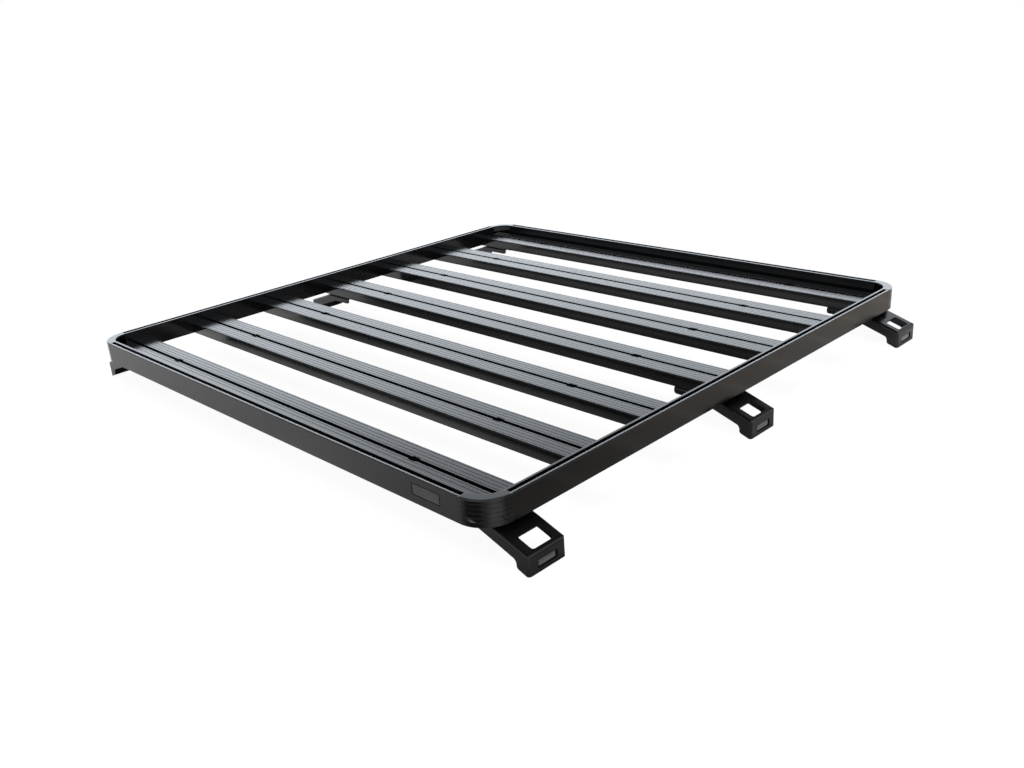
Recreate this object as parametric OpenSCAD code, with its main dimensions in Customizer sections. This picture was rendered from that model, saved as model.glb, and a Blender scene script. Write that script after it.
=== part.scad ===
// Flat slatted load rack for the bed of a pickup truck: a rail frame with rounded corners,
// seven slats across it, and six folded feet that stand out past the side rails.
// X runs along the slats, Y along the tray, Z up. The origin is on the ground, under the middle.

/* [Tray] */
// Width over the outer faces of the side rails
tray_w = 1345; // [900:1:1600]
// Distance between the centre lines of neighbouring slats
slat_pitch = 202; // [170:1:260]
// Distance from the centre line of the first slat to the outer face of the end rail
end_margin = 73; // [68:1:100]

/* [Rails] */
// Width of a rail's section
rail_w = 20; // [18:0.5:26]
// Height of a rail's section
rail_h = 48; // [42:1:60]
// Wall of the rail's box section
rail_wall = 2; // [1.5:0.1:2.5]
// Width of the mouth of the groove along the rail's top
rail_slot_w = 9; // [5:0.5:10]
// Distance of the groove's centre line from the rail's outer face
rail_slot_inset = 10; // [9:0.5:11]
// Height of the groove's chamber under its lips
rail_slot_h = 8; // [6:0.5:12]
// Thickness of the lips beside the groove's mouth
rail_lip = 2.4; // [1.8:0.1:3.2]
// Radius of the long edges along the rail's top
rail_edge_r = 1; // [0.5:0.1:1.5]

/* [Plate recess in the front rail] */
// Width of the recess for a blank plate in the rail's outer face
recess_w = 70; // [40:1:80]
// Height of the recess
recess_h = 22; // [12:0.5:26]
// Depth of the recess
recess_d = 1; // [0.5:0.1:1.2]
// Distance of the recess's centre from the rail's end
recess_inset = 78.5; // [76:0.5:160]
// How much higher than the middle of the rail the recess's centre is
recess_up = 2; // [-4:0.5:4]

/* [Corners] */
// Outer radius of a corner piece
corner_r = 60; // [42:1:70]
// Thickness of the corner's curved wall
corner_wall = 4; // [3:0.5:5]
// Thickness of the corner's flat top
corner_top = 3.5; // [2.5:0.5:5]
// Number of level grooves round the corner's curved wall
corner_grooves = 5; // [2:1:6]
// Height and depth of one level groove
corner_groove = 0.7; // [0.5:0.1:2]
// Length of the tongue that plugs into each rail
tongue_l = 35; // [20:1:60]
// Gap between a tongue and the rail's inside
tongue_gap = 0.3; // [0.2:0.05:0.6]

/* [Slats] */
// Width of a slat
slat_w = 83; // [72:1:90]
// Height of a slat
slat_h = 25; // [23:0.5:30]
// Thickness of the slat's side walls and of the middle channel's walls
slat_wall = 2; // [1.5:0.1:3]
// Thickness of the slat's top skin and of every lip
slat_skin = 2.5; // [2:0.1:3.2]
// Thickness of the web between the upper and the lower groove
slat_web = 3; // [2:0.5:5]
// Width of the mouths of the slat's grooves
slat_slot_w = 9; // [7:0.1:9.5]
// Width of the grooves' chambers
slat_slot_chamber = 16; // [14:0.5:18]
// Width of the inward lips at the foot of the side walls
slat_lip_w = 6; // [3:0.5:9]
// Distance between neighbouring ribs on the slat's top
rib_pitch = 9; // [5:0.5:12]
// Width of the shallow groove between two ribs
rib_gap = 1.2; // [0.8:0.1:2]
// Depth of the shallow groove between two ribs
rib_depth = 0.7; // [0.4:0.1:1]
// Radius of the slat's long upper edges
slat_edge_r = 1.5; // [0.5:0.1:2]

/* [Entry notches] */
// Length of a notch where a bolt head drops into the slat's upper groove
notch_l = 20; // [14:1:30]
// Width of a notch
notch_w = 14; // [12:0.5:14]
// Distance of a notch's centre from the slat's end
notch_inset = 234; // [150:1:280]

/* [Cleats] */
// Thickness of the angle cleats that hold the slat ends
cleat_t = 3; // [2:0.5:4]
// Width of a cleat
cleat_w = 18; // [12:1:20]
// Length of the cleat's level leg
cleat_l = 30; // [20:1:50]
// Gap between a cleat and the middle channel's wall
cleat_gap = 2; // [1:0.5:3]

/* [Feet] */
// Height of the tray's underside above the ground
foot_drop = 68; // [62:1:100]
// Width of a foot
foot_w = 84; // [76:1:92]
// Thickness of the foot's plate
foot_t = 4; // [3:0.5:5]
// How far a foot stands out past the side rail
foot_reach = 52.5; // [48:0.5:70]
// How far a foot runs in under the tray from the side rail's outer face
foot_under = 125.5; // [115:0.5:160]
// Distance from the side rail's outer face to the bend where the foot starts to fall
foot_bend_inset = 40.5; // [36:0.5:46]
// Angle at which the foot's top falls outwards
foot_fall = 18.5; // [14:0.5:20]
// Height of the side flanges on the level stretch
flange_h = 15; // [13:0.5:18]
// Height of the side flanges at the leg, measured straight down
flange_leg_h = 24; // [20:0.5:27]
// Length of the leg's foot, along X
leg_l = 26; // [20:0.5:30]
// How far the flange's lower edge rises from the end plate's foot to the leg's inner corner
flange_lift = 8; // [2:0.5:9]
// Radius between the flange's lower edge and the leg
leg_fillet = 10; // [5:0.5:12]
// Radius of the flange's free corners
flange_corner_r = 6; // [3:0.5:8]
// Outer radius of the long folds
fold_r = 6; // [5.5:0.5:8]
// Outer radius of the fold at the top of the end plate
nose_r = 9; // [5:0.5:10]

/* [Foot openings] */
// Width of the window in the foot's sloping top, along Y
window_w = 48; // [36:1:54]
// Length of the window along the slope
window_l = 34; // [24:1:36]
// Distance from the end plate's outer face to the window, along X
window_inset = 7; // [7:0.5:12]
// Radius of the window's corners
window_r = 5; // [2:0.5:8]
// Width of the pocket in the end plate
pocket_w = 45; // [30:1:60]
// Height of the pocket
pocket_h = 15; // [8:0.5:16]
// Depth of the pocket
pocket_d = 2.5; // [0.5:0.1:2.5]

/* [Foot bolts] */
// Diameter of the bolts that hold a foot to its slat
bolt_d = 7.6; // [5.8:0.1:8]
// Clearance of the bolt's hole in the foot, on the diameter
bolt_play = 1; // [0.5:0.1:1.5]
// Distance from the foot's inner end to its first bolt
bolt_inset = 22; // [18:1:26]
// Distance between the foot's two bolts
bolt_spacing = 40; // [30:1:42]
// Width across the flats of the bolt's head and nut
hex_af = 13; // [10:0.5:13.5]
// Height of the bolt's head
head_h = 5; // [3:0.5:6]
// Height of the nut
nut_h = 6.5; // [5:0.5:8]
// Diameter of the washer
washer_d = 17; // [16:0.5:24]
// Thickness of the washer
washer_t = 1.6; // [1:0.1:2.5]
// How far the bolt's end stands out of the nut
bolt_end = 3; // [1:0.5:6]

/* [Hidden] */
$fn = 48;
eps = 1;
small_r = 2;

slats = 7;
fold_strips = 6;
tray_l = (slats - 1) * slat_pitch + 2 * end_margin;
slat_l = tray_w - 2 * rail_w;
rail_inside = rail_w - 2 * rail_wall;
rail_hollow_h = rail_h - rail_lip - rail_slot_h - 2 * rail_wall;
slot_chamber_h = (slat_h - slat_web) / 2 - slat_skin;
channel_w = slat_slot_chamber + 2 * slat_wall;
side_chamber_w = (slat_w - channel_w) / 2 - slat_wall;
first_rib = (slat_slot_chamber + slat_wall) / 2;
ribs_a_side = floor((slat_w / 2 - first_rib - rib_pitch / 2) / rib_pitch);

// Foot outline in the plane of its flange: x counts outwards from the side rail's outer face
bend_x = -foot_bend_inset;
foot_span = foot_under + foot_reach + foot_drop;
leg_top = foot_drop - (foot_reach - bend_x) * tan(foot_fall);
leg_in = foot_reach - leg_l;
pocket_z = 0.4 * leg_top;
bend_at = [bend_x, foot_drop];
lower_at_leg = foot_drop - (leg_in - bend_x) * tan(foot_fall) - flange_leg_h;
lower_level = foot_drop - flange_h;
lower_bend_x = leg_in - (lower_level - lower_at_leg) / tan(foot_fall);

black_coat = "#2b2d30";
edge_coat = "#35373a";
zinc = "#9a9c9e";

function slat_y(n) = (n - (slats + 1) / 2) * slat_pitch;
function unit(v) = v / norm(v);

// Sliver between a corner at v, with edges towards a and b, and an arc of radius r in it.
// reach is how far the sliver's tip stands past the corner.
module corner_sliver(v, a, b, r, reach) {
    u = unit(a - v);
    w = unit(b - v);
    half = acos(u * w) / 2;
    side = r / tan(half);
    middle = unit(u + w);
    centre = v + middle * r / sin(half);
    difference() {
        polygon([v + u * side, centre, v + w * side, v - middle * reach]);
        translate(centre) circle(r);
    }
}

// Rectangle with rounded upper corners, standing on the X axis from x = 0
module round_topped(w, h, r) {
    square([w, h - r]);
    translate([r, 0]) square([w - 2 * r, h]);
    translate([r, h - r]) circle(r);
    translate([w - r, h - r]) circle(r);
}

// Rectangle with four rounded corners, centred
module round_rect(w, h, r) {
    square([w - 2 * r, h], center = true);
    square([w, h - 2 * r], center = true);
    for (x = [-1, 1], y = [-1, 1]) translate([x * (w / 2 - r), y * (h / 2 - r)]) circle(r);
}

// Rail section: x counts inwards from the outer face, y up from the underside
module rail_section() {
    difference() {
        round_topped(rail_w, rail_h, rail_edge_r);
        translate([rail_wall, rail_wall]) square([rail_inside, rail_hollow_h]);
        translate([rail_wall, rail_h - rail_lip - rail_slot_h]) square([rail_inside, rail_slot_h]);
        translate([rail_slot_inset - rail_slot_w / 2, rail_h - rail_lip - eps])
            square([rail_slot_w, rail_lip + 2 * eps]);
    }
}

// One straight rail, turned from the front side to its own side of the tray
module rail(turn, half_across, length) {
    color(black_coat)
        rotate([0, 0, turn])
            translate([0, -half_across, foot_drop])
                rotate([90, 0, 90])
                    linear_extrude(length, center = true) rail_section();
}

module end_rail(turn) rail(turn, tray_l / 2, tray_w - 2 * corner_r);

// End rail across the front, with the recess for a plate near its right end
module front_rail() {
    difference() {
        end_rail(0);
        translate([tray_w / 2 - corner_r - recess_inset, recess_d - tray_l / 2,
                   foot_drop + rail_h / 2 + recess_up])
            rotate([90, 0, 0]) linear_extrude(recess_d + eps) round_rect(recess_w, recess_h, small_r);
    }
}

module side_rail(turn) rail(turn, tray_w / 2, tray_l - 2 * corner_r);

// Wall and top of a corner piece, as a section: x counts out from the corner's centre
module corner_section() {
    difference() {
        translate([corner_r - rail_w, 0]) round_topped(rail_w, rail_h, rail_edge_r);
        translate([corner_r - rail_w - eps, -eps])
            square([rail_w - corner_wall + eps, rail_h - corner_top + eps]);
        for (i = [1:corner_grooves])
            translate([corner_r - corner_groove, i * rail_h / (corner_grooves + 1)])
                square([corner_groove + eps, corner_groove]);
    }
}

// Closed end of a corner piece, with the tongue that plugs into the rail's hollow
module corner_end() {
    rotate_extrude(angle = asin(corner_wall / corner_r))
        translate([corner_r - rail_w, 0]) round_topped(rail_w, rail_h, rail_edge_r);
    translate([corner_r - rail_w + rail_wall + tongue_gap, -tongue_l, rail_wall + tongue_gap])
        cube([rail_inside - 2 * tongue_gap, tongue_l + eps, rail_hollow_h - 2 * tongue_gap]);
}

// Corner piece between the +X and the +Y side, turned to its own corner
module corner(turn, half_x, half_y) {
    color(edge_coat)
        translate([0, 0, foot_drop])
            rotate([0, 0, turn])
                translate([half_x - corner_r, half_y - corner_r, 0]) {
                    rotate_extrude(angle = 90) corner_section();
                    corner_end();
                    mirror([1, -1, 0]) corner_end();
                }
}

// Slat section, centred on x = 0 and standing on y = 0
module slat_section() {
    difference() {
        translate([-slat_w / 2, 0]) round_topped(slat_w, slat_h, slat_edge_r);
        // upper groove
        translate([-slat_slot_chamber / 2, slat_h - slat_skin - slot_chamber_h])
            square([slat_slot_chamber, slot_chamber_h]);
        translate([-slat_slot_w / 2, slat_h - slat_skin - eps]) square([slat_slot_w, slat_skin + 2 * eps]);
        // lower groove
        translate([-slat_slot_chamber / 2, slat_skin]) square([slat_slot_chamber, slot_chamber_h]);
        translate([-slat_slot_w / 2, -eps]) square([slat_slot_w, slat_skin + 2 * eps]);
        // side chambers, open below between their lips
        for (s = [0, 1]) mirror([s, 0]) {
            translate([channel_w / 2, slat_skin]) square([side_chamber_w, slat_h - 2 * slat_skin]);
            translate([channel_w / 2, -eps]) square([side_chamber_w - slat_lip_w, slat_skin + 2 * eps]);
            for (i = [0:ribs_a_side])
                translate([first_rib + i * rib_pitch - rib_gap / 2, slat_h - rib_depth])
                    square([rib_gap, rib_depth + eps]);
        }
    }
}

module slat(n) {
    color(black_coat)
        translate([0, slat_y(n), foot_drop])
            difference() {
                rotate([90, 0, 90]) linear_extrude(slat_l, center = true) slat_section();
                for (s = [-1, 1])
                    translate([s * (slat_l / 2 - notch_inset), 0, slat_h - slat_skin])
                        linear_extrude(slat_skin + eps) round_rect(notch_l, notch_w, small_r);
            }
}

// Angle cleat in a slat's side chamber: one leg on the side rail, one under the slat's skin
module cleat() {
    leg = slat_h - 2 * slat_skin;
    translate([0, cleat_gap + channel_w / 2, foot_drop + slat_skin]) {
        cube([cleat_t, cleat_w, leg]);
        translate([0, 0, leg - cleat_t]) cube([cleat_l, cleat_w, cleat_t]);
    }
}

// All cleats along one side rail, wherever the rail runs behind them
module cleats(side) {
    reach = cleat_gap + channel_w / 2 + cleat_w;
    color(zinc)
        for (n = [1:slats], s = [-1, 1])
            if (abs(slat_y(n) + s * reach) < tray_l / 2 - corner_r)
                mirror([side > 0 ? 1 : 0, 0, 0])
                    translate([-slat_l / 2, slat_y(n), 0])
                        mirror([0, s < 0 ? 1 : 0, 0]) cleat();
}

// Outline of a foot from the side, inset by the plate for its hollow: x outwards, y up.
// Its foot ends in the polygon tail, and its nose has a fold of radius nose_r on the outside.
module foot_outline(inset, tail) {
    bend = bend_at - inset * [tan(foot_fall / 2), 1];
    nose_x = foot_reach - inset;
    nose = [nose_x, bend.y - (nose_x - bend.x) * tan(foot_fall)];
    difference() {
        polygon(concat([[-foot_under - inset, bend.y], bend, nose], tail));
        corner_sliver(nose, bend, [nose_x, 0], nose_r - inset, eps);
    }
}

// Outline of a foot's flange, with the end plate's edge down to the ground
module flange_outline() {
    inner_top = [-foot_under, foot_drop];
    inner_low = [-foot_under, lower_level];
    low_bend = [lower_bend_x, lower_level];
    leg_root = [leg_in, lower_at_leg];
    leg_inner = [leg_in, flange_lift];
    leg_outer = [foot_reach - foot_t, 0];
    difference() {
        foot_outline(0, [[foot_reach, 0], leg_outer, leg_inner, leg_root, low_bend, inner_low]);
        corner_sliver(leg_inner, leg_root, leg_outer, flange_corner_r, eps);
        corner_sliver(inner_low, inner_top, low_bend, flange_corner_r, eps);
    }
    corner_sliver(leg_root, leg_inner, low_bend, leg_fillet, eps);
}

// Block whose flat strips stand for the two long folds round the plate's edges. The first and the
// last strip run on past the fold, so that the flanges and the top cut them. Its top is at z = 0.
module fold_block(inset) {
    half = foot_w / 2 - fold_r;
    r = fold_r - inset;
    past = tan(45 / fold_strips);
    side = concat([[half + r + foot_span * past, -fold_r - foot_span]],
                  [for (i = [1:fold_strips - 1])
                      [half + r * cos(90 * i / fold_strips), r * sin(90 * i / fold_strips) - fold_r]],
                  [[0, half * past - inset]]);
    rotate([90, 0, 90])
        linear_extrude(2 * foot_span, center = true)
            polygon(concat(side, [for (i = [fold_strips - 1:-1:0]) [-side[i].x, side[i].y]]));
}

// What the long folds leave of a foot along its level, its falling and its upright stretch
module folds(inset) {
    intersection() {
        translate([0, 0, foot_drop]) fold_block(inset);
        translate([bend_x, 0, foot_drop]) rotate([0, foot_fall, 0]) fold_block(inset);
        translate([foot_reach, 0, 0]) rotate([0, 90, 0]) fold_block(inset);
    }
}

// Channel folded from one plate, open below and with its end plate on the ground
module folded_plate() {
    difference() {
        intersection() {
            rotate([90, 0, 0]) linear_extrude(foot_w, center = true) flange_outline();
            folds(0);
        }
        intersection() {
            rotate([90, 0, 0])
                linear_extrude(foot_w - 2 * foot_t, center = true)
                    foot_outline(foot_t, [[foot_reach - foot_t, -eps], [-foot_under - foot_t, -eps]]);
            folds(foot_t);
        }
    }
}

// A foot on the +X side, with the side rail's outer face at x = 0
module foot_shape() {
    difference() {
        folded_plate();
        // window in the sloping top
        translate([bend_x, 0, foot_drop]) rotate([0, foot_fall, 0])
            translate([(foot_reach - bend_x - window_inset) / cos(foot_fall) - window_l / 2, 0, -2 * foot_t])
                linear_extrude(3 * foot_t) round_rect(window_l, window_w, window_r);
        // pocket in the end plate
        translate([foot_reach - pocket_d, 0, pocket_z])
            rotate([90, 0, 90]) linear_extrude(pocket_d + eps) round_rect(pocket_w, pocket_h, small_r);
        // bolt holes in the level stretch
        for (i = [0, 1])
            translate([bolt_inset + i * bolt_spacing - foot_under, 0, foot_drop - foot_t - eps])
                cylinder(h = foot_t + 2 * eps, d = bolt_d + bolt_play);
    }
}

// Puts a right-hand piece at a slat, on the side given by -1 or 1
module at_foot(n, side) {
    translate([0, slat_y(n), 0]) mirror([side < 0 ? 1 : 0, 0, 0]) translate([tray_w / 2, 0, 0]) children();
}

module foot(n, side) color(black_coat) at_foot(n, side) foot_shape();

// Bolt with its head in the slat's lower groove, and its washer and nut under the foot
module bolt() {
    hex_r = hex_af / 2 / cos(30);
    nut_top = foot_drop - foot_t - washer_t;
    translate([0, 0, foot_drop + slat_skin]) cylinder(h = head_h, r = hex_r, $fn = 6);
    translate([0, 0, nut_top - nut_h - bolt_end])
        cylinder(h = foot_drop + slat_skin + eps - nut_top + nut_h + bolt_end, d = bolt_d);
    translate([0, 0, nut_top]) cylinder(h = washer_t, d = washer_d);
    translate([0, 0, nut_top - nut_h]) cylinder(h = nut_h, r = hex_r, $fn = 6);
}

module bolts(n, side) {
    color(zinc)
        at_foot(n, side)
            for (i = [0, 1]) translate([bolt_inset + i * bolt_spacing - foot_under, 0, 0]) bolt();
}

front_rail();
end_rail(180);  // rear_rail
side_rail(-90);  // left_rail
side_rail(90);  // right_rail
corner(180, tray_w / 2, tray_l / 2);  // corner_front_left
corner(-90, tray_l / 2, tray_w / 2);  // corner_front_right
corner(90, tray_l / 2, tray_w / 2);  // corner_rear_left
corner(0, tray_w / 2, tray_l / 2);  // corner_rear_right
slat(1);  // slat_1
slat(2);  // slat_2
slat(3);  // slat_3
slat(4);  // slat_4
slat(5);  // slat_5
slat(6);  // slat_6
slat(7);  // slat_7
cleats(-1);  // cleats_left
cleats(1);  // cleats_right
foot(1, -1);  // foot_front_left
foot(4, -1);  // foot_middle_left
foot(7, -1);  // foot_rear_left
foot(1, 1);  // foot_front_right
foot(4, 1);  // foot_middle_right
foot(7, 1);  // foot_rear_right
bolts(1, -1);  // bolts_front_left
bolts(4, -1);  // bolts_middle_left
bolts(7, -1);  // bolts_rear_left
bolts(1, 1);  // bolts_front_right
bolts(4, 1);  // bolts_middle_right
bolts(7, 1);  // bolts_rear_right
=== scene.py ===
import math

import bmesh
import bpy
from mathutils import Matrix, Vector


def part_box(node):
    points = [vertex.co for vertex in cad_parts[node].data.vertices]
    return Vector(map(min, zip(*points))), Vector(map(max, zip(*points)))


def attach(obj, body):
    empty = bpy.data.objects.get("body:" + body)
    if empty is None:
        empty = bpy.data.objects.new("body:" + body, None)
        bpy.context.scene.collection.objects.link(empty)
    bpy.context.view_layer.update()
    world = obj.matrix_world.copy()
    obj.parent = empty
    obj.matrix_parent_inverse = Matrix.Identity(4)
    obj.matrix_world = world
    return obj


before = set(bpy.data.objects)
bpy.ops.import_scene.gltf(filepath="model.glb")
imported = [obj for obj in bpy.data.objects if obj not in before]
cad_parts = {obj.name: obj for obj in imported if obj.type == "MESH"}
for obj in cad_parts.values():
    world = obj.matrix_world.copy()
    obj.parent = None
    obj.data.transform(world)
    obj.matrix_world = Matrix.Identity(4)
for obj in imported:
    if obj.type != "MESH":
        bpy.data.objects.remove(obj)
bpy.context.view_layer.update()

# Rails: four aluminium box extrusions with a bolt groove along the top, cut square where they meet
# the corner pieces. They are sprayed with black powder and baked, which leaves a satin skin with a
# fine orange peel and slightly rounder edges.
RAILS = ["front_rail", "rear_rail", "left_rail", "right_rail"]
RAIL_BLACK = (0.0040, 0.0041, 0.0044)
RAIL_ROUGHNESS = 0.16
RAIL_EDGE = 0.0008
RAIL_PEEL = 0.10
POWDER_IOR = 1.52
POWDER_CLOUDS = 9.0                            # cells per metre, like all the grains below
POWDER_SHEEN = (-0.035, 0.045)                 # added to the roughness
POWDER_SHADES = ((0.35, 0.86), (0.68, 1.16))   # place on the ramp and share of the colour
PEEL_GRAIN = 1100.0
PEEL_DEPTH = 0.0002
NOISE_RANGE = (0.3, 0.7)


def part_of(tree, kind, **settings):
    """One shader node, with its sockets and options set by name."""
    part = tree.nodes.new("ShaderNode" + kind)
    for name, value in settings.items():
        socket = name.replace("_", " ")
        if socket in part.inputs:
            part.inputs[socket].default_value = value
        else:
            setattr(part, name, value)
    return part


def mottle(tree, noise, colour, roughness, sheen_spread, shades):
    """Let a noise turn the roughness and the colour of a finish a little."""
    skin = tree.nodes["Principled BSDF"]
    sheen = part_of(tree, "MapRange", name="sheen", From_Min=NOISE_RANGE[0], From_Max=NOISE_RANGE[1],
                    To_Min=roughness + sheen_spread[0], To_Max=roughness + sheen_spread[1])
    tree.links.new(noise, sheen.inputs["Value"])
    tree.links.new(sheen.outputs["Result"], skin.inputs["Roughness"])
    tint = part_of(tree, "ValToRGB")
    for point, (place, share) in zip(tint.color_ramp.elements, shades):
        point.position = place
        point.color = (*[share * c for c in colour], 1)
    tree.links.new(noise, tint.inputs["Fac"])
    tree.links.new(tint.outputs["Color"], skin.inputs["Base Color"])


def powder_coat(name, colour, roughness, edge, peel, streak=(1, 1, 1)):
    """Baked powder paint: cloudy sheen, orange peel, and edges that the paint has rounded off."""
    paint = bpy.data.materials.new(name)
    paint.use_nodes = True
    tree = paint.node_tree
    skin = tree.nodes["Principled BSDF"]
    skin.inputs["IOR"].default_value = POWDER_IOR
    skin.inputs["Metallic"].default_value = 0.0
    place = part_of(tree, "TexCoord", name="place")
    run = part_of(tree, "Mapping", Scale=streak)
    tree.links.new(place.outputs["Object"], run.inputs["Vector"])
    cloud = part_of(tree, "TexNoise", Scale=POWDER_CLOUDS, Detail=3.0, Roughness=0.55)
    tree.links.new(run.outputs["Vector"], cloud.inputs["Vector"])
    mottle(tree, cloud.outputs["Fac"], colour, roughness, POWDER_SHEEN, POWDER_SHADES)
    grain = part_of(tree, "TexNoise", Scale=PEEL_GRAIN, Detail=2.0, Roughness=0.5)
    tree.links.new(place.outputs["Object"], grain.inputs["Vector"])
    rounded = part_of(tree, "Bevel", name="rounded", samples=6, Radius=edge)
    relief = part_of(tree, "Bump", name="relief", Strength=peel, Distance=PEEL_DEPTH)
    tree.links.new(grain.outputs["Fac"], relief.inputs["Height"])
    tree.links.new(rounded.outputs["Normal"], relief.inputs["Normal"])
    tree.links.new(relief.outputs["Normal"], skin.inputs["Normal"])
    return paint


def finish_nodes(names, material):
    """Give CAD nodes their finish through their own material slots."""
    for name in names:
        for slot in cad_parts[name].material_slots:
            slot.material = material


rail_paint = powder_coat("rail_powder_black", RAIL_BLACK, RAIL_ROUGHNESS, RAIL_EDGE, RAIL_PEEL)
finish_nodes(RAILS, rail_paint)

# Corner pieces: aluminium castings whose tongues plug into the rails. Their wall has level grooves
# cast round it and their top is plain. The powder bakes on them a little glossier, with more
# orange peel, and a hairline joint shows where they meet the rails.
CORNERS = ["corner_front_left", "corner_front_right", "corner_rear_left", "corner_rear_right"]
CORNER_BLACK = (0.0045, 0.0046, 0.0048)
CORNER_ROUGHNESS = 0.13
CORNER_EDGE = 0.0004
CORNER_PEEL = 0.14
OUTER_EDGE = 0.0045
OUTER_EDGE_WITHIN = 0.0052
JOINT_GAP = 0.0005
JOINT_DEPTH = 0.0008

front_rail_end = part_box("front_rail")[1]
right_rail_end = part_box("right_rail")[1]
corner_centre = (front_rail_end.x, right_rail_end.y, right_rail_end.z)
corner_r = right_rail_end.x - front_rail_end.x


def combine(tree, operation, first, second=0.0, third=0.0):
    """One math node on up to three sockets or numbers."""
    part = part_of(tree, "Math", operation=operation)
    for socket, value in zip(part.inputs, (first, second, third)):
        if isinstance(value, (int, float)):
            socket.default_value = value
        else:
            tree.links.new(value, socket)
    return part.outputs["Value"]


def combine_places(tree, operation, first, second=(0, 0, 0)):
    """One vector math node on a socket and a set place."""
    part = part_of(tree, "VectorMath", operation=operation)
    tree.links.new(first, part.inputs[0])
    part.inputs[1].default_value = second
    return part.outputs["Value" if operation in ("LENGTH", "DISTANCE") else "Vector"]


def axes_of(tree, place):
    """The X, Y and Z of a place, each as a socket."""
    part = part_of(tree, "SeparateXYZ")
    tree.links.new(place, part.inputs["Vector"])
    return part.outputs


def eased(tree, value, start, end, low, high):
    """A smooth step of a value from low at the start to high at the end."""
    part = part_of(tree, "MapRange", interpolation_type="SMOOTHSTEP", From_Min=start, From_Max=end,
                   To_Min=low, To_Max=high)
    tree.links.new(value, part.inputs["Value"])
    return part.outputs["Result"]


def switched(tree, switch, off, on):
    """The value off where a switch is 0 and the value on where it is 1."""
    part = part_of(tree, "MapRange", To_Min=off, To_Max=on)
    tree.links.new(switch, part.inputs["Value"])
    return part.outputs["Result"]


def round_the_tray(paint, edge):
    """Widen the rounding of the tray's outer top edge and sink its joints a little."""
    tree = paint.node_tree
    mirrored = combine_places(tree, "ABSOLUTE", tree.nodes["place"].outputs["Object"])
    beyond = combine_places(tree, "SUBTRACT", mirrored, corner_centre)
    reach = combine_places(tree, "LENGTH", combine_places(tree, "MAXIMUM", beyond))
    sides = axes_of(tree, beyond)
    near_top = combine(tree, "GREATER_THAN", sides["Z"], -OUTER_EDGE_WITHIN)
    near_wall = combine(tree, "GREATER_THAN", reach, corner_r - OUTER_EDGE_WITHIN)
    outer = combine(tree, "MULTIPLY", near_top, near_wall)
    tree.links.new(switched(tree, outer, edge, OUTER_EDGE), tree.nodes["rounded"].inputs["Radius"])
    nearest = combine(tree, "MINIMUM", combine(tree, "ABSOLUTE", sides["X"]),
                      combine(tree, "ABSOLUTE", sides["Y"]))
    seam = part_of(tree, "Bump", Strength=1.0, Distance=JOINT_DEPTH)
    tree.links.new(eased(tree, nearest, 0.0, JOINT_GAP, 0.0, 1.0), seam.inputs["Height"])
    tree.links.new(tree.nodes["relief"].outputs["Normal"], seam.inputs["Normal"])
    tree.links.new(seam.outputs["Normal"], tree.nodes["Principled BSDF"].inputs["Normal"])


corner_paint = powder_coat("corner_powder_black", CORNER_BLACK, CORNER_ROUGHNESS, CORNER_EDGE, CORNER_PEEL)
finish_nodes(CORNERS, corner_paint)
round_the_tray(rail_paint, RAIL_EDGE)
round_the_tray(corner_paint, CORNER_EDGE)

# Slats: wide ribbed aluminium extrusions with a bolt groove down the middle. The die leaves faint
# lines along their length, which the satin black powder follows, so their sheen runs lengthwise.
# Their long outer edges are rounder than the ribs' and their side walls smoother than the top.
SLATS = ["slat_%d" % n for n in range(1, 8)]
SLAT_BLACK = (0.0045, 0.0048, 0.0054)
SLAT_ROUGHNESS = 0.17
SLAT_EDGE = 0.0002
SLAT_PEEL = 0.04
SLAT_STREAK = (1.5, 60, 60)
SLAT_OUTER_EDGE = 0.0030
SLAT_OUTER_EDGE_WITHIN = 0.0040                # of the slat's side, like the wall
SLAT_WALL_WITHIN = 0.0002
SLAT_WALL_SHARE = 0.5                          # of the roughness


def middle_y(node):
    """Where the middle of a CAD node lies along the tray."""
    low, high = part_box(node)
    return (low.y + high.y) / 2


slat_pitch = (middle_y(SLATS[-1]) - middle_y(SLATS[0])) / (len(SLATS) - 1)
half_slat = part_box(SLATS[0])[1].y - middle_y(SLATS[0])
slat_paint = powder_coat("slat_powder_black", SLAT_BLACK, SLAT_ROUGHNESS, SLAT_EDGE, SLAT_PEEL,
                         SLAT_STREAK)
tree = slat_paint.node_tree
along_tray = axes_of(tree, tree.nodes["place"].outputs["Object"])["Y"]
off_middle = combine(tree, "ABSOLUTE", combine(tree, "WRAP", along_tray, slat_pitch / 2, -slat_pitch / 2))
by_edge = combine(tree, "GREATER_THAN", off_middle, half_slat - SLAT_OUTER_EDGE_WITHIN)
tree.links.new(switched(tree, by_edge, SLAT_EDGE, SLAT_OUTER_EDGE), tree.nodes["rounded"].inputs["Radius"])
on_wall = combine(tree, "GREATER_THAN", off_middle, half_slat - SLAT_WALL_WITHIN)
roughness = combine(tree, "MULTIPLY", tree.nodes["sheen"].outputs["Result"],
                    switched(tree, on_wall, 1.0, SLAT_WALL_SHARE))
tree.links.new(roughness, tree.nodes["Principled BSDF"].inputs["Roughness"])
finish_nodes(SLATS, slat_paint)

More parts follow.
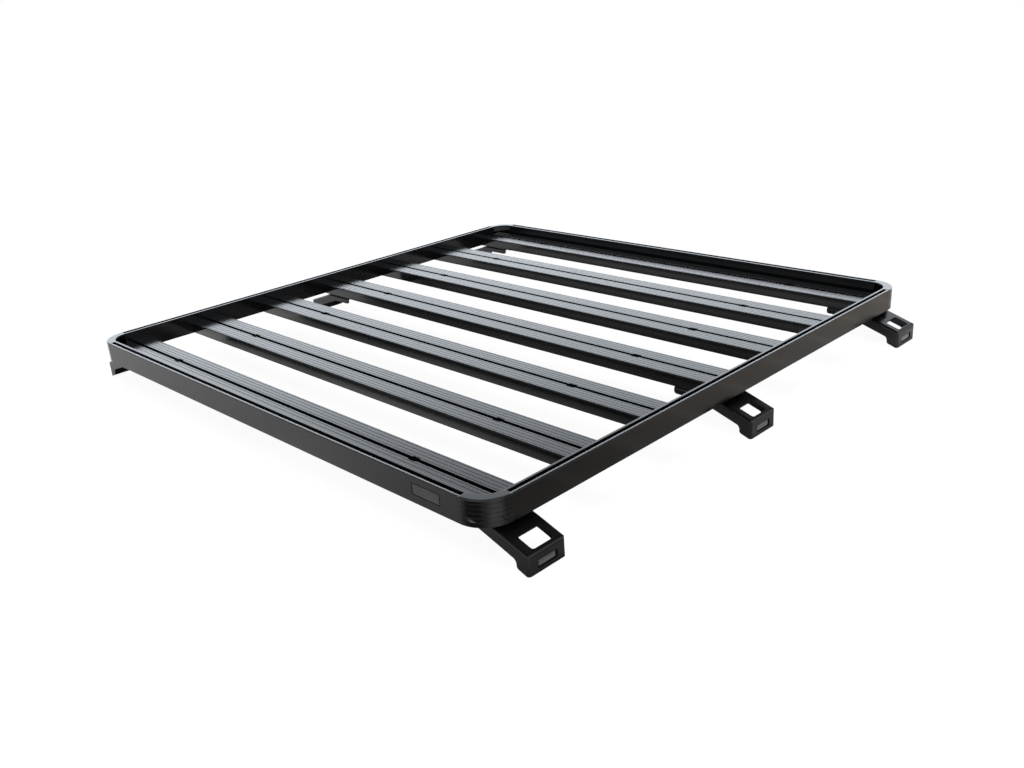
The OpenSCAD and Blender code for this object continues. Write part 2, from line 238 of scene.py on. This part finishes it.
# Cleats: short aluminium angles, left bare, that hold the slat ends from inside. Each has one
# button head screw into the side rail and one up into the slat.
CLEATS = ["cleats_left", "cleats_right"]
BARE_ALUMINIUM = (0.52, 0.52, 0.51)
CLEAT_ROUGHNESS = 0.42
CLEAT_GRAIN = 60.0
CLEAT_STRETCH = (8, 8, 1)
CLEAT_T = 0.003
CLEAT_MID_Y = 0.021                            # from the slat's middle
CLEAT_SCREW_IN = 0.0195                        # from the rail's inner face
SCREW_BLACK = (0.10, 0.10, 0.105)
SCREW_ROUGHNESS = 0.34
SCREW_GRAIN = 220.0
SCREW_HEAD_R = 0.0042
SCREW_HEAD_H = 0.0026
SCREW_DOME = 0.0014
SOCKET_R = 0.0017
SOCKET_DEPTH = 0.0015
METAL_SHEEN = (-0.06, 0.08)
METAL_SHADES = ((0.3, 0.82), (0.7, 1.12))
METAL_RELIEF = 0.25
METAL_DEPTH = 0.00004


def metal(name, colour, roughness, grain_scale, stretch=(1, 1, 1)):
    """Bare or plated metal with a fine grain that turns its sheen and roughness a little."""
    bare = bpy.data.materials.new(name)
    bare.use_nodes = True
    tree = bare.node_tree
    skin = tree.nodes["Principled BSDF"]
    skin.inputs["Metallic"].default_value = 1.0
    place = part_of(tree, "TexCoord")
    run = part_of(tree, "Mapping", Scale=stretch)
    tree.links.new(place.outputs["Object"], run.inputs["Vector"])
    grain = part_of(tree, "TexNoise", Scale=grain_scale, Detail=3.0, Roughness=0.6)
    tree.links.new(run.outputs["Vector"], grain.inputs["Vector"])
    mottle(tree, grain.outputs["Fac"], colour, roughness, METAL_SHEEN, METAL_SHADES)
    relief = part_of(tree, "Bump", Strength=METAL_RELIEF, Distance=METAL_DEPTH)
    tree.links.new(grain.outputs["Fac"], relief.inputs["Height"])
    tree.links.new(relief.outputs["Normal"], skin.inputs["Normal"])
    return bare


def pick_edges(piece, wanted):
    """Select a piece's edges in edit mode by their middle and direction."""
    bpy.ops.mesh.select_mode(type="EDGE")
    bpy.ops.mesh.select_all(action="DESELECT")
    edit = bmesh.from_edit_mesh(piece.data)
    for edge in edit.edges:
        a, b = (v.co for v in edge.verts)
        edge.select_set(bool(wanted((a + b) / 2, (b - a).normalized())))
    bmesh.update_edit_mesh(piece.data)


def side_of(node):
    """-1 for a node on the left and 1 for one on the right."""
    return -1 if node.endswith("left") else 1


def copies_of(piece, name, places):
    """One mesh object that holds a modelled piece at each of the places, given as matrices."""
    mesh = bmesh.new()
    for place in places:
        one = piece.data.copy()
        one.transform(place)
        if place.determinant() < 0:
            one.flip_normals()
        mesh.from_mesh(one)
        bpy.data.meshes.remove(one)
    data = bpy.data.meshes.new(name)
    mesh.to_mesh(data)
    mesh.free()
    for material in piece.data.materials:
        data.materials.append(material)
    group = bpy.data.objects.new(name, data)
    bpy.context.scene.collection.objects.link(group)
    return group


cleat_metal = metal("bare_aluminium", BARE_ALUMINIUM, CLEAT_ROUGHNESS, CLEAT_GRAIN, CLEAT_STRETCH)
finish_nodes(CLEATS, cleat_metal)

bpy.ops.object.select_all(action="DESELECT")
bpy.ops.mesh.primitive_cylinder_add(vertices=24, radius=SCREW_HEAD_R, depth=SCREW_HEAD_H,
                                    location=(0, 0, SCREW_HEAD_H / 2))
screw = bpy.context.object
bpy.ops.object.transform_apply(location=True, rotation=True, scale=True)
bpy.ops.object.mode_set(mode="EDIT")
pick_edges(screw, lambda middle, along: middle.z > 0.99 * SCREW_HEAD_H and abs(along.z) < 0.1)
bpy.ops.mesh.bevel(offset=SCREW_DOME, segments=3, affect="EDGES")
bpy.ops.object.mode_set(mode="OBJECT")
bpy.ops.object.select_all(action="DESELECT")
bpy.ops.mesh.primitive_cylinder_add(vertices=6, radius=SOCKET_R, depth=2 * SOCKET_DEPTH,
                                    location=(0, 0, SCREW_HEAD_H))
key = bpy.context.object
bpy.ops.object.select_all(action="DESELECT")
screw.select_set(True)
bpy.context.view_layer.objects.active = screw
cut = screw.modifiers.new("socket", "BOOLEAN")
cut.operation = "DIFFERENCE"
cut.object = key
bpy.ops.object.modifier_apply(modifier="socket")
bpy.data.objects.remove(key)
bpy.ops.object.shade_smooth_by_angle(angle=math.radians(30))
screw.data.materials.append(metal("screw_black_zinc", SCREW_BLACK, SCREW_ROUGHNESS, SCREW_GRAIN))

cleats_low, cleats_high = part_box("cleats_right")
roof_z = cleats_high.z - CLEAT_T
screw_z = (cleats_low.z + roof_z) / 2
for cleats in CLEATS:
    sign = side_of(cleats)
    places = []
    for slat in SLATS:
        for across in (-1, 1):
            # The end slats have no cleat on their outer side.
            if (slat == SLATS[0] and across < 0) or (slat == SLATS[-1] and across > 0):
                continue
            y = middle_y(slat) + across * CLEAT_MID_Y
            into_rail = Matrix.Translation((sign * (cleats_high.x - CLEAT_T), y, screw_z))
            into_slat = Matrix.Translation((sign * (cleats_high.x - CLEAT_SCREW_IN), y, roof_z))
            places.append(into_rail @ Matrix.Rotation(-sign * math.pi / 2, 4, "Y"))
            places.append(into_slat @ Matrix.Rotation(math.pi, 4, "X"))
    screws = copies_of(screw, cleats.replace("cleats", "cleat_screws"), places)
    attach(screws, "root")
bpy.data.objects.remove(screw)

# Feet: steel plate, laser cut with its window, folded into a channel, mitred and welded at the
# bends, then powder coated. They bolt up into the lower grooves of the first, the middle and the
# last slat and stand on their outer ends, which carry the load.
FEET = ["foot_%s_%s" % (row, side) for row in ("front", "middle", "rear") for side in ("left", "right")]
FOOT_BLACK = (0.0045, 0.0045, 0.0048)
FOOT_ROUGHNESS = 0.22
FOOT_EDGE = 0.0008
FOOT_PEEL = 0.12

foot_paint = powder_coat("foot_powder_black", FOOT_BLACK, FOOT_ROUGHNESS, FOOT_EDGE, FOOT_PEEL)
finish_nodes(FEET, foot_paint)

# Plates: blank plates of brushed aluminium, with a pressed rim, glued into the pockets of the
# feet's end plates, and a longer one, anodised black, in the front rail's recess. All are bare.
PLATE_GREY = (0.36, 0.36, 0.37)
PLATE_BLACK = (0.12, 0.12, 0.122)
PLATE_ROUGHNESS = 0.38
PLATE_GRAIN = 320.0
FOOT_PLATE_BRUSHED = (1, 0.06, 1)
RAIL_PLATE_BRUSHED = (0.06, 1, 1)
PLATE_T = 0.0008
PLATE_CORNER_R = 0.0018
PLATE_RIM = 0.0011
PLATE_DISH = 0.00025
PLATE_SOFT_EDGE = 0.00012
FOOT_PLATE_W = 0.037
FOOT_PLATE_H = 0.0102
FOOT_POCKET_DEPTH = 0.0025
FOOT_POCKET_Z = 0.01475
RAIL_PLATE_W = 0.066
RAIL_PLATE_H = 0.0185
RAIL_RECESS_X = 0.534
RAIL_RECESS_UP = 0.002                         # above the rail's middle
RAIL_RECESS_DEPTH = 0.001
FACING_RIGHT = Matrix(((0, 0, 1, 0), (1, 0, 0, 0), (0, 1, 0, 0), (0, 0, 0, 1)))
FACING_FRONT = Matrix(((1, 0, 0, 0), (0, 0, -1, 0), (0, 1, 0, 0), (0, 0, 0, 1)))


def pick_faces(piece, wanted):
    """Select a piece's faces in edit mode by their centre and normal."""
    bpy.ops.mesh.select_mode(type="FACE")
    bpy.ops.mesh.select_all(action="DESELECT")
    edit = bmesh.from_edit_mesh(piece.data)
    for face in edit.faces:
        face.select_set(bool(wanted(face.calc_center_median(), face.normal)))
    bmesh.update_edit_mesh(piece.data)


def blank_plate(name, width, height, material):
    """A thin plate with round corners and a raised rim, face up on the XY plane from z = 0."""
    bpy.ops.object.select_all(action="DESELECT")
    bpy.ops.mesh.primitive_cube_add(size=1, location=(0, 0, PLATE_T / 2), scale=(width, height, PLATE_T))
    plate = bpy.context.object
    plate.name = name
    bpy.ops.object.transform_apply(location=True, rotation=True, scale=True)
    bpy.ops.object.mode_set(mode="EDIT")
    pick_edges(plate, lambda middle, along: abs(along.z) > 0.9)
    bpy.ops.mesh.bevel(offset=PLATE_CORNER_R, segments=5, affect="EDGES")
    pick_faces(plate, lambda centre, normal: normal.z > 0.9)
    bpy.ops.mesh.inset(thickness=PLATE_RIM)
    bpy.ops.mesh.inset(thickness=0.5 * PLATE_RIM, depth=-PLATE_DISH)
    bpy.ops.object.mode_set(mode="OBJECT")
    soft = plate.modifiers.new("soft_edges", "BEVEL")
    soft.width = PLATE_SOFT_EDGE
    soft.segments = 2
    soft.limit_method = "ANGLE"
    soft.angle_limit = math.radians(40)
    bpy.ops.object.modifier_apply(modifier="soft_edges")
    bpy.ops.object.shade_smooth_by_angle(angle=math.radians(35))
    plate.data.materials.append(material)
    return plate


brushed = metal("brushed_plate", PLATE_GREY, PLATE_ROUGHNESS, PLATE_GRAIN, FOOT_PLATE_BRUSHED)
foot_plate = blank_plate("foot_plate", FOOT_PLATE_W, FOOT_PLATE_H, brushed)
pocket_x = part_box("foot_front_right")[1].x - FOOT_POCKET_DEPTH
for foot in FEET:
    flipped = Matrix.Diagonal((side_of(foot), 1, 1, 1))
    place = Matrix.Translation((pocket_x, middle_y(foot), FOOT_POCKET_Z))
    plate = copies_of(foot_plate, "plate_" + foot, [flipped @ place @ FACING_RIGHT])
    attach(plate, "root")
bpy.data.objects.remove(foot_plate)

anodised = metal("anodised_plate", PLATE_BLACK, PLATE_ROUGHNESS, PLATE_GRAIN, RAIL_PLATE_BRUSHED)
rail_plate = blank_plate("rail_plate", RAIL_PLATE_W, RAIL_PLATE_H, anodised)
rail_low, rail_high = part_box("front_rail")
place = Matrix.Translation((RAIL_RECESS_X, rail_low.y + RAIL_RECESS_DEPTH,
                            (rail_low.z + rail_high.z) / 2 + RAIL_RECESS_UP))
plate = copies_of(rail_plate, "plate_front_rail", [place @ FACING_FRONT])
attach(plate, "root")
bpy.data.objects.remove(rail_plate)

# Foot bolts: hexagon bolts from the slats' lower grooves down through the feet, each with a
# washer and a nut, black zinc plated. The bare end below the nut shows its rolled thread.
BOLTS = [foot.replace("foot", "bolts") for foot in FEET]
BOLT_BLACK = (0.11, 0.11, 0.115)
BOLT_ROUGHNESS = 0.36
BOLT_GRAIN = 240.0
BOLT_R = 0.0038
BOLT_X = (0.5690, 0.6090)
THREAD_PITCH = 0.00125
THREAD_DEPTH = 0.0003
THREAD_TURNS = 2
THREAD_STEPS = 20
THREAD_MERGE = 0.000002

bolt_steel = metal("bolt_black_zinc", BOLT_BLACK, BOLT_ROUGHNESS, BOLT_GRAIN)
finish_nodes(BOLTS, bolt_steel)

bpy.ops.object.select_all(action="DESELECT")
bpy.ops.mesh.primitive_circle_add(vertices=3, radius=THREAD_PITCH / 2, fill_type="NOTHING",
                                  location=(0, 0, 0), rotation=(math.pi / 2, math.pi / 2, 0))
thread = bpy.context.object
bpy.ops.object.transform_apply(location=True, rotation=True, scale=True)
outermost = max(v.co.x for v in thread.data.vertices)
for v in thread.data.vertices:
    v.co.x = BOLT_R + THREAD_DEPTH if abs(v.co.x - outermost) < THREAD_MERGE else BOLT_R - THREAD_DEPTH
wind = thread.modifiers.new("wind", "SCREW")
wind.axis = "Z"
wind.screw_offset = THREAD_PITCH
wind.iterations = THREAD_TURNS
wind.steps = THREAD_STEPS
wind.render_steps = THREAD_STEPS
bpy.ops.object.modifier_apply(modifier="wind")
bpy.ops.object.mode_set(mode="EDIT")
bpy.ops.mesh.select_mode(type="EDGE")
bpy.ops.mesh.select_all(action="SELECT")
bpy.ops.mesh.remove_doubles(threshold=THREAD_MERGE)
bpy.ops.mesh.select_all(action="SELECT")
bpy.ops.mesh.fill_holes(sides=3)
bpy.ops.mesh.select_all(action="SELECT")
bpy.ops.mesh.normals_make_consistent(inside=False)
bpy.ops.object.mode_set(mode="OBJECT")
thread.data.materials.append(bolt_steel)
for foot, bolts in zip(FEET, BOLTS):
    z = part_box(bolts)[0].z + THREAD_PITCH / 2
    places = [Matrix.Translation((side_of(foot) * x, middle_y(foot), z)) for x in BOLT_X]
    ends = copies_of(thread, bolts.replace("bolts", "thread"), places)
    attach(ends, "root")
bpy.data.objects.remove(thread)

# Floor: white, and seen a little brighter than it is lit, which leaves a faint shadow. What the
# rack mirrors of it is painted reflection and shade: darker, and then warmer, towards the right,
# with a painted dark spot and a painted pale spot off the front right corner, a painted pool of
# light under the front slats and painted shadow strips for the slats' fronts.
FLOOR_SIZE = 30.0
FLOOR_PALE = (0.80, 0.80, 0.80, 1)
FLOOR_GLOW = 1.10
FLOOR_GLOW_SHARE = 0.85
# Painted reflection and shade, seen only by glossy rays: darkening towards the right, spots, a pool of
# light, shadow strips and a warm side.
PAINTED_SHADE_CENTRE = (0.95, -0.45, 0)
PAINTED_SHADE_REACH = 3.0
PAINTED_SHADE_STEPS = ((0.0, 0.12), (0.117, 0.34), (0.217, 0.48), (0.333, 0.60), (0.467, 0.72), (0.667, 0.88),
              (1.0, 1.0))
PAINTED_DARK_REFLECTION = (0.645, -0.86, 0)
PAINTED_DARK_REFLECTION_FADE = (0.06, 0.17)
PAINTED_DARK_REFLECTION_LEVEL = 0.12
PAINTED_LIGHT_POOL = (0.10, -0.38, 0)
PAINTED_LIGHT_POOL_FADE = (0.20, 0.48)
PAINTED_LIGHT_POOL_LEVEL = 1.6
PAINTED_SHADOW_STRIP_PITCH = 0.178
PAINTED_SHADOW_STRIP_PEAK = 1.25
PAINTED_SHADOW_STRIP_STEPS = ((0.0, 1.0), (0.19, 1.0), (0.26, 0.30), (0.64, 0.30), (0.70, 0.17), (1.0, 0.17))
PAINTED_SHADOW_STRIP_MIDDLE = (-0.10, -0.105)
PAINTED_SHADOW_STRIP_REACH = (0.64, 0.555)
PAINTED_SHADOW_STRIP_FADE = 0.04
PAINTED_WARM_FROM = 0.755
PAINTED_WARM_FADE = 0.02
PAINTED_WARM_REFLECTION = (1.0, 0.90, 0.81, 1)
PAINTED_PALE_REFLECTION = (0.84, -0.70, 0)
PAINTED_PALE_REFLECTION_FADE = (0.03, 0.13)
PAINTED_PALE_REFLECTION_LEVEL = 0.50
PAINTED_PALE_REFLECTION_COLOUR = (0.95, 1.0, 1.03, 1)


def ramp(tree, fac, steps):
    """A grey colour ramp through the given (place, level) steps."""
    part = part_of(tree, "ValToRGB")
    points = part.color_ramp.elements
    while len(points) < len(steps):
        points.new(0.5)
    for point, (place, level) in zip(points, steps):
        point.position = place
        point.color = (level, level, level, 1)
    tree.links.new(fac, part.inputs["Fac"])
    return part.outputs["Color"]


def tinted(tree, blend_type, share, first, colour):
    """A colour blended with a set one, by a share."""
    part = part_of(tree, "Mix", data_type="RGBA", blend_type=blend_type)
    tree.links.new(share, part.inputs["Factor"])
    tree.links.new(first, part.inputs[6])
    part.inputs[7].default_value = colour
    return part.outputs[2]


def mixed(tree, share, first, second):
    """Two shaders mixed, by the share of the second."""
    part = part_of(tree, "MixShader")
    tree.links.new(share, part.inputs["Fac"])
    tree.links.new(first, part.inputs[1])
    tree.links.new(second, part.inputs[2])
    return part.outputs["Shader"]


bpy.ops.object.select_all(action="DESELECT")
bpy.ops.mesh.primitive_plane_add(size=FLOOR_SIZE, location=(0, 0, 0))
floor = bpy.context.object
floor.name = "floor"
floor_white = bpy.data.materials.new("floor_white")
floor_white.use_nodes = True
floor.data.materials.append(floor_white)
tree = floor_white.node_tree
tree.nodes.remove(tree.nodes["Principled BSDF"])
path = part_of(tree, "LightPath")
spot = part_of(tree, "TexCoord").outputs["Object"]
axes = axes_of(tree, spot)

matt = part_of(tree, "BsdfDiffuse", Color=FLOOR_PALE)
glow = part_of(tree, "Emission", Strength=FLOOR_GLOW)
glow_share = combine(tree, "MULTIPLY", path.outputs["Is Camera Ray"], FLOOR_GLOW_SHARE)
seen = mixed(tree, glow_share, matt.outputs["BSDF"], glow.outputs["Emission"])

# Painted shade: what the rack mirrors of the floor darkens towards a point off the right rail.
off_shade_centre = combine_places(tree, "DISTANCE", spot, PAINTED_SHADE_CENTRE)
level = ramp(tree, combine(tree, "DIVIDE", off_shade_centre, PAINTED_SHADE_REACH), PAINTED_SHADE_STEPS)
# A painted dark spot off the front right corner and a painted pool of light under the front slats, in what
# the rack mirrors.
for place, fade, tone in ((PAINTED_DARK_REFLECTION, PAINTED_DARK_REFLECTION_FADE, PAINTED_DARK_REFLECTION_LEVEL),
                          (PAINTED_LIGHT_POOL, PAINTED_LIGHT_POOL_FADE, PAINTED_LIGHT_POOL_LEVEL)):
    painted_spot = eased(tree, combine_places(tree, "DISTANCE", spot, place), *fade, tone, 1.0)
    level = combine(tree, "MULTIPLY", level, painted_spot)
# Painted shadow strips, one to each slat pitch and only within the tray, for the slats' fronts to mirror.
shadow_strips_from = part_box(SLATS[0])[1].y
along = combine(tree, "DIVIDE", combine(tree, "SUBTRACT", axes["Y"], shadow_strips_from), PAINTED_SHADOW_STRIP_PITCH)
shadow_strip = combine(tree, "WRAP", along, 1.0, 0.0)
painted_strip_shade = combine(tree, "MULTIPLY", ramp(tree, shadow_strip, PAINTED_SHADOW_STRIP_STEPS), PAINTED_SHADOW_STRIP_PEAK)
for axis, middle, reach in zip("XY", PAINTED_SHADOW_STRIP_MIDDLE, PAINTED_SHADOW_STRIP_REACH):
    off = combine(tree, "ABSOLUTE", combine(tree, "SUBTRACT", axes[axis], middle))
    painted_strip_shade = combine(tree, "MAXIMUM", painted_strip_shade, eased(tree, off, reach - PAINTED_SHADOW_STRIP_FADE, reach, 0.0, 1.0))
level = combine(tree, "MULTIPLY", level, painted_strip_shade)
# Painted warm reflection beyond the right rail.
painted_warmth = part_of(tree, "MapRange", From_Min=PAINTED_WARM_FROM, From_Max=PAINTED_WARM_FROM + PAINTED_WARM_FADE)
tree.links.new(axes["X"], painted_warmth.inputs["Value"])
painted_tones = tinted(tree, "MULTIPLY", painted_warmth.outputs["Result"], level, PAINTED_WARM_REFLECTION)
# A painted pale reflection spot off the front right corner.
off_pale_reflection = combine_places(tree, "DISTANCE", spot, PAINTED_PALE_REFLECTION)
pale_reflection = eased(tree, off_pale_reflection, *PAINTED_PALE_REFLECTION_FADE, PAINTED_PALE_REFLECTION_LEVEL, 0.0)
painted_tones = tinted(tree, "ADD", pale_reflection, painted_tones, PAINTED_PALE_REFLECTION_COLOUR)
# Glossy rays see the floor in these painted reflection and shade tones, in place of its white.
mirrored = part_of(tree, "BsdfDiffuse")
tree.links.new(painted_tones, mirrored.inputs["Color"])
tree.links.new(mixed(tree, path.outputs["Is Glossy Ray"], seen, mirrored.outputs["BSDF"]),
               tree.nodes["Material Output"].inputs["Surface"])

# Surround: plain white to the eye and weaker as a light. The rack mirrors a cool tent in its
# place, dark overhead and bright low down, most of all beyond the rear left and the front right.
SURROUND_DIFFUSE = 0.55
TENT_TINT = (0.93, 1.0, 1.075, 1)
TENT_PEAK = 2.52
TENT_STEPS = ((0.0, 0.97), (0.342, 1.0), (0.375, 0.93), (0.407, 0.62), (0.469, 0.45), (0.60, 0.07),
              (1.0, 0.06))
TENT_SHY = 0.30                                # share left away from the two bright sides
TENT_SIDES = (0.6, 1.1)                        # of a direction's |y - x|, from dim to bright

surround = bpy.data.worlds.new("surround")
bpy.context.scene.world = surround
surround.use_nodes = True
tree = surround.node_tree
path = part_of(tree, "LightPath")
plain = tree.nodes["Background"]
plain.inputs["Color"].default_value = (1, 1, 1, 1)
tree.links.new(switched(tree, path.outputs["Is Camera Ray"], SURROUND_DIFFUSE, 1.0),
               plain.inputs["Strength"])
axes = axes_of(tree, part_of(tree, "TexCoord").outputs["Generated"])
across = combine(tree, "ABSOLUTE", combine(tree, "SUBTRACT", axes["Y"], axes["X"]))
lit = combine(tree, "MULTIPLY", eased(tree, across, *TENT_SIDES, TENT_SHY, 1.0),
              ramp(tree, axes["Z"], TENT_STEPS))
tent = part_of(tree, "Background", Color=TENT_TINT)
tree.links.new(combine(tree, "MULTIPLY", lit, TENT_PEAK), tent.inputs["Strength"])
tree.links.new(mixed(tree, path.outputs["Is Glossy Ray"], plain.outputs["Background"],
                     tent.outputs["Background"]), tree.nodes["World Output"].inputs["Surface"])

# Soft box: a square lamp over the rack. It lights the floor and the matt side of the finishes,
# gives the soft shadow, and isn't mirrored.
BOX_SIZE = 2.6
BOX_WATTS = 56
BOX_AT = (0.2, -0.6, 2.8)

lamp = bpy.data.lights.new("overhead_box", "AREA")
lamp.shape = "SQUARE"
lamp.size = BOX_SIZE
lamp.energy = BOX_WATTS
overhead = bpy.data.objects.new("overhead_box", lamp)
bpy.context.scene.collection.objects.link(overhead)
overhead.location = BOX_AT
overhead.visible_camera = False
overhead.visible_glossy = False

# Camera: stands 1.3 m off the rack's front right corner at table height, leaning a little to its
# own right. Turn, tilt and roll are in radians, the lens and the sensor in millimetres.
LENS = 34.94
SENSOR_W = 36
CAMERA_AT = (1.65321, -1.53256, 0.829809)
TURN, TILT, ROLL = -0.812582, 0.380364, -0.0754121
CLIP_FROM, CLIP_TO = 0.02, 60

ahead = Vector((math.sin(TURN) * math.cos(TILT), math.cos(TURN) * math.cos(TILT), -math.sin(TILT)))
level_right = Vector((math.cos(TURN), -math.sin(TURN), 0))
level_up = level_right.cross(ahead)
right = math.cos(ROLL) * level_right + math.sin(ROLL) * level_up
up = math.cos(ROLL) * level_up - math.sin(ROLL) * level_right
eye = bpy.data.cameras.new("camera")
eye.sensor_width = SENSOR_W
eye.lens = LENS
eye.clip_start = CLIP_FROM
eye.clip_end = CLIP_TO
camera = bpy.data.objects.new("camera", eye)
bpy.context.scene.collection.objects.link(camera)
camera.matrix_world = Matrix.Translation(CAMERA_AT) @ Matrix((right, up, -ahead)).transposed().to_4x4()
bpy.context.scene.camera = camera
bpy.context.scene.view_settings.view_transform = "Standard"
